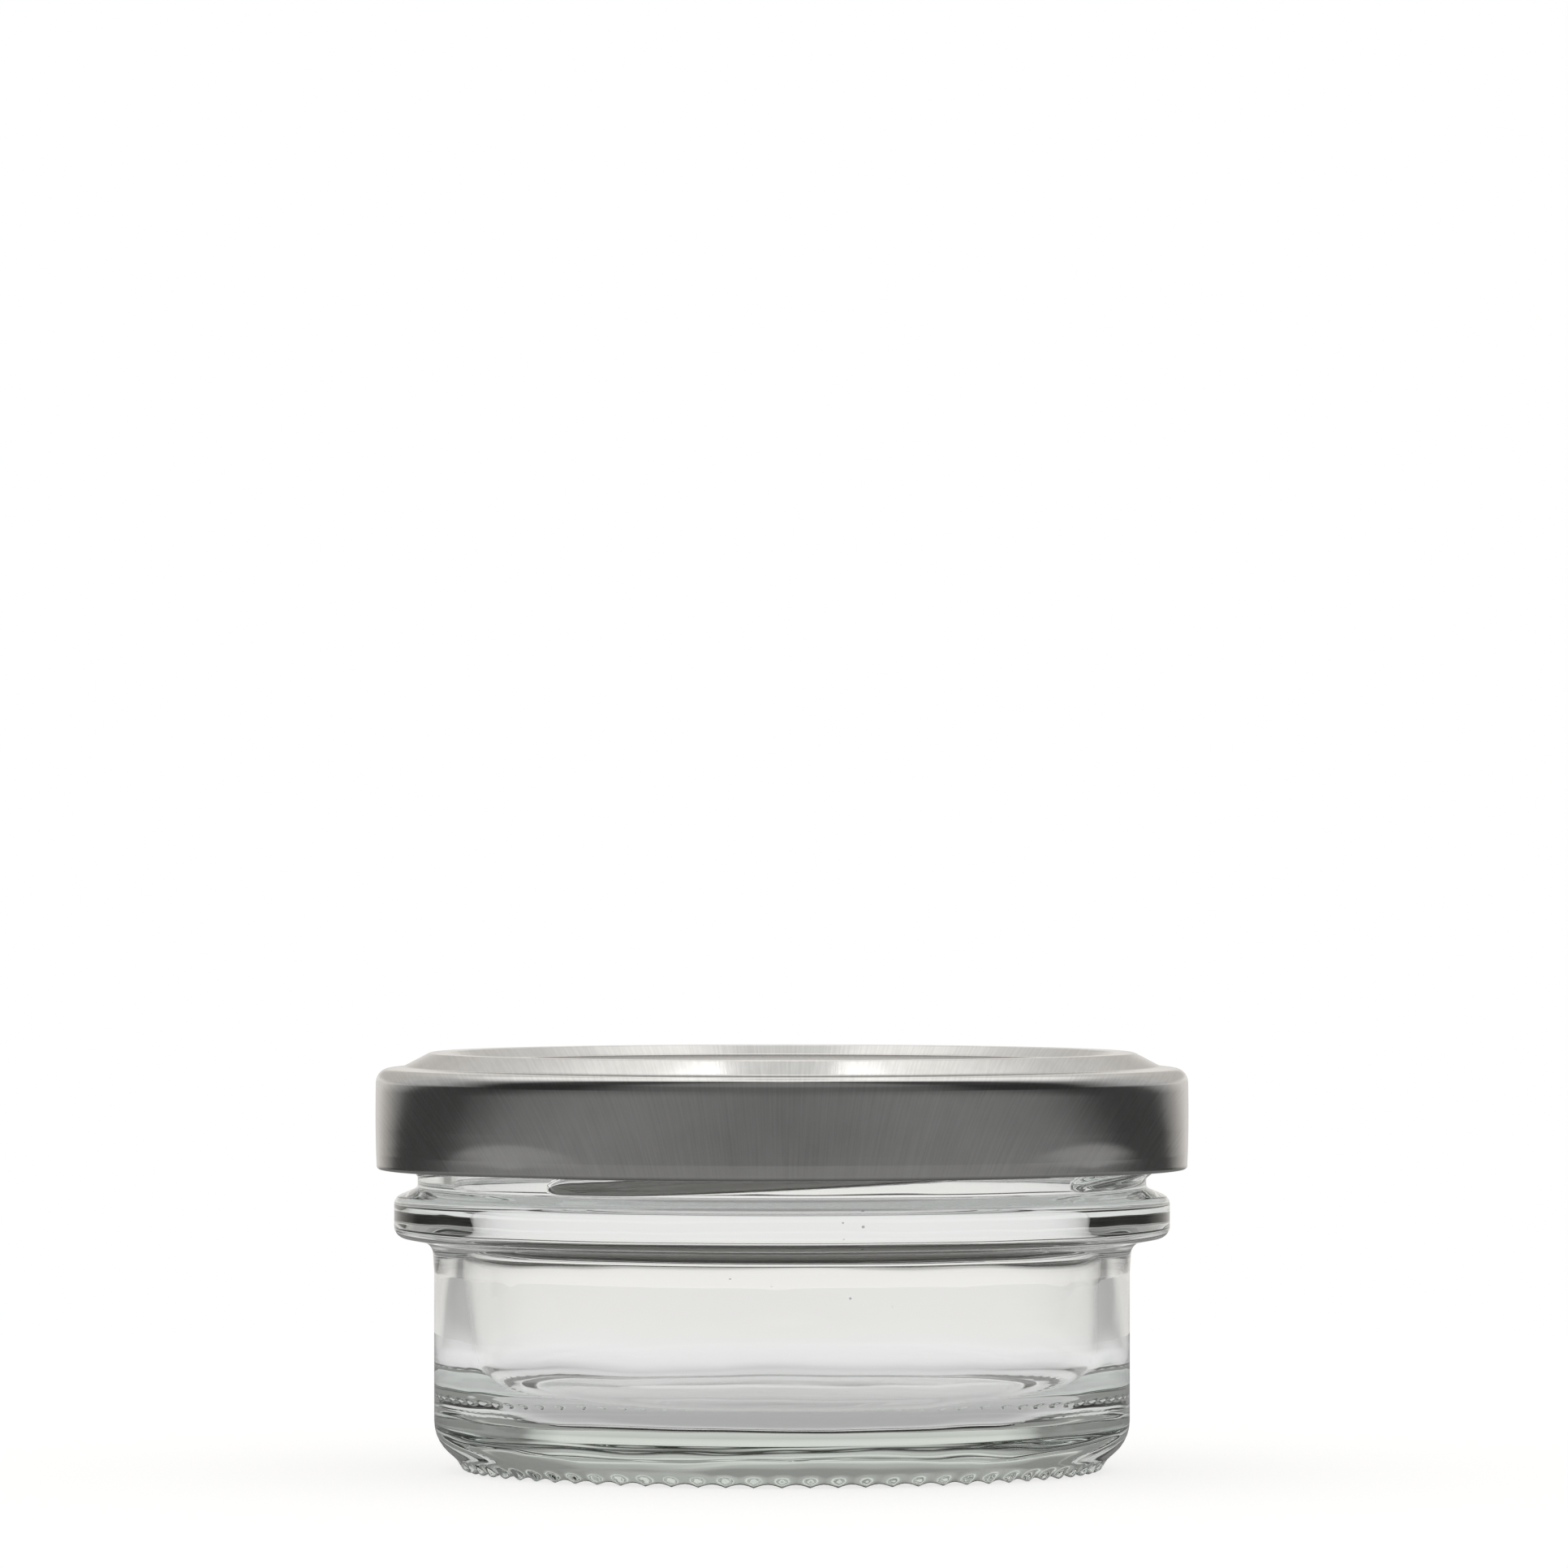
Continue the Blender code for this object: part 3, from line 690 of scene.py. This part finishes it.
# Brightness round the object for rays through the glass, by degrees from straight behind it
GLASS_SEES = ((0, 0.98), (29, 0.95), (34, 0.70), (37, 0.34), (46, 0.38), (100, 0.40), (180, 0.22))
WARM_WHITE = (1.0, 0.985, 0.955)
LAMP_DISTANCE = 0.9
LAMP_LEVEL_DEG = 56
LAMP_ASIDE_DEG = 10.5
LAMP_SIZE = 0.06
LAMP_POWER = 0.016


def brightness(nodes, share, levels, whole=1, tint=(1, 1, 1)):
    """A ramp through levels given by place, from 0 to whole, read at a share of the way."""
    stops = [(place / whole, (*[level * part for part in tint], 1)) for place, level in levels]
    return nodes.add("ShaderNodeValToRGB", {"stops": stops}, {"Fac": share})


bpy.ops.mesh.primitive_circle_add(vertices=TABLE_SIDES, radius=TABLE_RADIUS, fill_type="NGON",
                                  location=(0, 0, 0))
table = bpy.context.object
table.name = "table"
white, nodes = new_finish("white_table")
seen = nodes.add("ShaderNodeLightPath", out="Is Camera Ray")


def through_glass(nodes, first_depth):
    """1 for a ray that comes out of the glass, also after it was mirrored inside it."""
    passed = nodes.add("ShaderNodeLightPath", out="Is Transmission Ray")
    mirrored = nodes.add("ShaderNodeLightPath", out="Is Glossy Ray")
    bounces = nodes.add("ShaderNodeLightPath", out="Ray Depth")
    return passed.most(mirrored * (bounces - first_depth).least(1))


paint = nodes.add("ShaderNodeBsdfDiffuse", {}, {"Color": TABLE_PAINT})
facing = nodes.add("ShaderNodeLayerWeight", {}, {"Blend": 0.5}, out="Facing")
here = nodes.add("ShaderNodeTexCoord", out="Object")
across, along = nodes.axes(here, "XY")
from_axis = (across * across + along * along) ** 0.5
beside = abs(across).maths("ARCTAN2", abs(across), along) / pi
around = brightness(nodes, beside, GLASS_SEES, HALF_TURN_DEG, WARM_WHITE)
around = nodes.mix(from_axis.step(TABLE_EVEN_TO, TABLE_AS_ROOM_FROM), (1, 1, 1, 1), around)
# Painted shadow of the jar on the table, seen only through the glass
under = brightness(nodes, from_axis * (1000 / TABLE_SHADOW_MM), TABLE_PAINTED_SHADOW, TABLE_SHADOW_MM)
under = under.most(facing.step(*TABLE_SHADOW_SLANT))
shine = brightness(nodes, facing, TABLE_GLOW_BY_FACING)
dimmed = nodes.mix(through_glass(nodes, 1) * shine * under, (0, 0, 0, 1), around)
white_seen = (*[TABLE_GLOW * part for part in TABLE_WHITE], 1)
glow = nodes.add("ShaderNodeEmission", {}, {
    "Color": nodes.mix(seen, dimmed, white_seen), "Strength": 1.0})
surface = nodes.add("ShaderNodeAddShader", {}, {0: paint, 1: glow})
nodes.add("ShaderNodeOutputMaterial", {}, {"Surface": surface})
white.cycles.emission_sampling = "NONE"
table.data.materials.append(white)

# Brightness round the object for reflections on metal, by degrees from straight behind it, and how
# far the flags lean over: a reflection that goes higher sees what stands nearer to the backdrop
METAL_SEES = ((0, 0.80), (5, 0.70), (17, 0.66), (26.6, 0.45), (33.8, 0.29), (38.2, 0.20), (42, 0.083),
              (45, 0.045), (74, 0.045), (96, 0.169), (110, 0.185), (127, 0.205), (150, 0.185), (180, 0.15))
METAL_LEAN = 1.2
METAL_LEVEL = 0.028
METAL_MOST_UP = 0.2
# The backdrop is a little warm on metal, up to this share of a half turn from straight behind
METAL_WARM = (1.0, 0.965, 0.92, 1)
METAL_WARM_TURN = (0.2, 0.24)
# The soft white light above the backdrop, for metal: how far back and up it lies, and the cosines
# of the angles at which it starts and is full
PATCH_BACK = 0.6
PATCH_UP = 0.8
PATCH_EDGE = (0.78, 0.95)
# The greyer gap between its two lamps, by turn from straight behind and by height
GAP_GREY = (0.68, 0.68, 0.67, 1)
GAP_TURN = (0.025, 0.045)
GAP_BOTTOM = (0.68, 0.74)
GAP_TOP = (0.88, 0.93)
# The shaded band from just above the jar up to that light, which leaves out straight behind
LEDGE_SHADE = 0.36
LEDGE_TURN = (0.015, 0.05)
LEDGE_BOTTOM = (0.04, 0.12)
LEDGE_TOP = (0.55, 0.75)
# How the brightness for rays through the glass falls with height, from level (0) to straight up (1)
GLASS_SKY = ((0, 1.0), (0.05, 1.0), (0.15, 0.88), (0.22, 0.62), (0.31, 0.52), (0.40, 0.36), (1, 0.30))
studio = bpy.data.worlds.new("studio")
bpy.context.scene.world = studio
nodes = Nodes(studio)
outward = nodes.add("ShaderNodeTexCoord", out="Generated")
east, north, high = nodes.axes(outward, "XYZ")
behind = abs(east).maths("ARCTAN2", abs(east), north) / pi
lean = (high + METAL_LEVEL).most(-METAL_MOST_UP / 2).least(METAL_MOST_UP)
metal_turn = behind - METAL_LEAN * lean
metal_band = brightness(nodes, metal_turn, METAL_SEES, HALF_TURN_DEG)
metal_band = nodes.mix(1 - behind.step(*METAL_WARM_TURN), metal_band, METAL_WARM, way="MULTIPLY")
glass_band = brightness(nodes, behind, GLASS_SEES, HALF_TURN_DEG, WARM_WHITE)
sky = (PATCH_UP * high + PATCH_BACK * north).step(*PATCH_EDGE)
metal_view = nodes.mix(sky, metal_band, (*WARM_WHITE, 1))
gap = (1 - behind.step(*GAP_TURN)) * high.step(*GAP_BOTTOM) * (1 - high.step(*GAP_TOP))
metal_view = nodes.mix(gap, metal_view, GAP_GREY)
ledge = high.step(*LEDGE_BOTTOM) * (1 - high.step(*LEDGE_TOP)) * behind.step(*LEDGE_TURN)
metal_view = nodes.mix(LEDGE_SHADE * ledge, metal_view, (0, 0, 0, 1))
seen = nodes.add("ShaderNodeLightPath", out="Is Camera Ray")
glossy = nodes.add("ShaderNodeLightPath", out="Is Glossy Ray")
plain = (ROOM_LIGHT, ROOM_LIGHT, ROOM_LIGHT, 1)
light = nodes.mix(glossy, plain, metal_view)
glass_sky = brightness(nodes, high, GLASS_SKY)
glass_view = nodes.mix(1.0, glass_band, glass_sky, way="MULTIPLY")
light = nodes.mix(through_glass(nodes, 2), light, glass_view)
light = nodes.mix(seen, light, (1, 1, 1, 1))
sky_shader = nodes.add("ShaderNodeBackground", {}, {"Color": light, "Strength": 1.0})
nodes.add("ShaderNodeOutputWorld", {}, {"Surface": sky_shader})
studio.cycles.sampling_method = "NONE"

for side in (-1, 1):
    turn = radians(LAMP_ASIDE_DEG * side)
    level = radians(LAMP_LEVEL_DEG)
    toward = Vector((sin(turn) * cos(level), cos(turn) * cos(level), sin(level)))
    bpy.ops.object.light_add(type="AREA", location=toward * LAMP_DISTANCE,
                             rotation=toward.to_track_quat("Z", "Y").to_euler())
    lamp = bpy.context.object
    lamp.name = "lamp_left" if side < 0 else "lamp_right"
    lamp.data.size = LAMP_SIZE
    lamp.data.energy = LAMP_POWER

bpy.context.scene.view_settings.view_transform = "Standard"
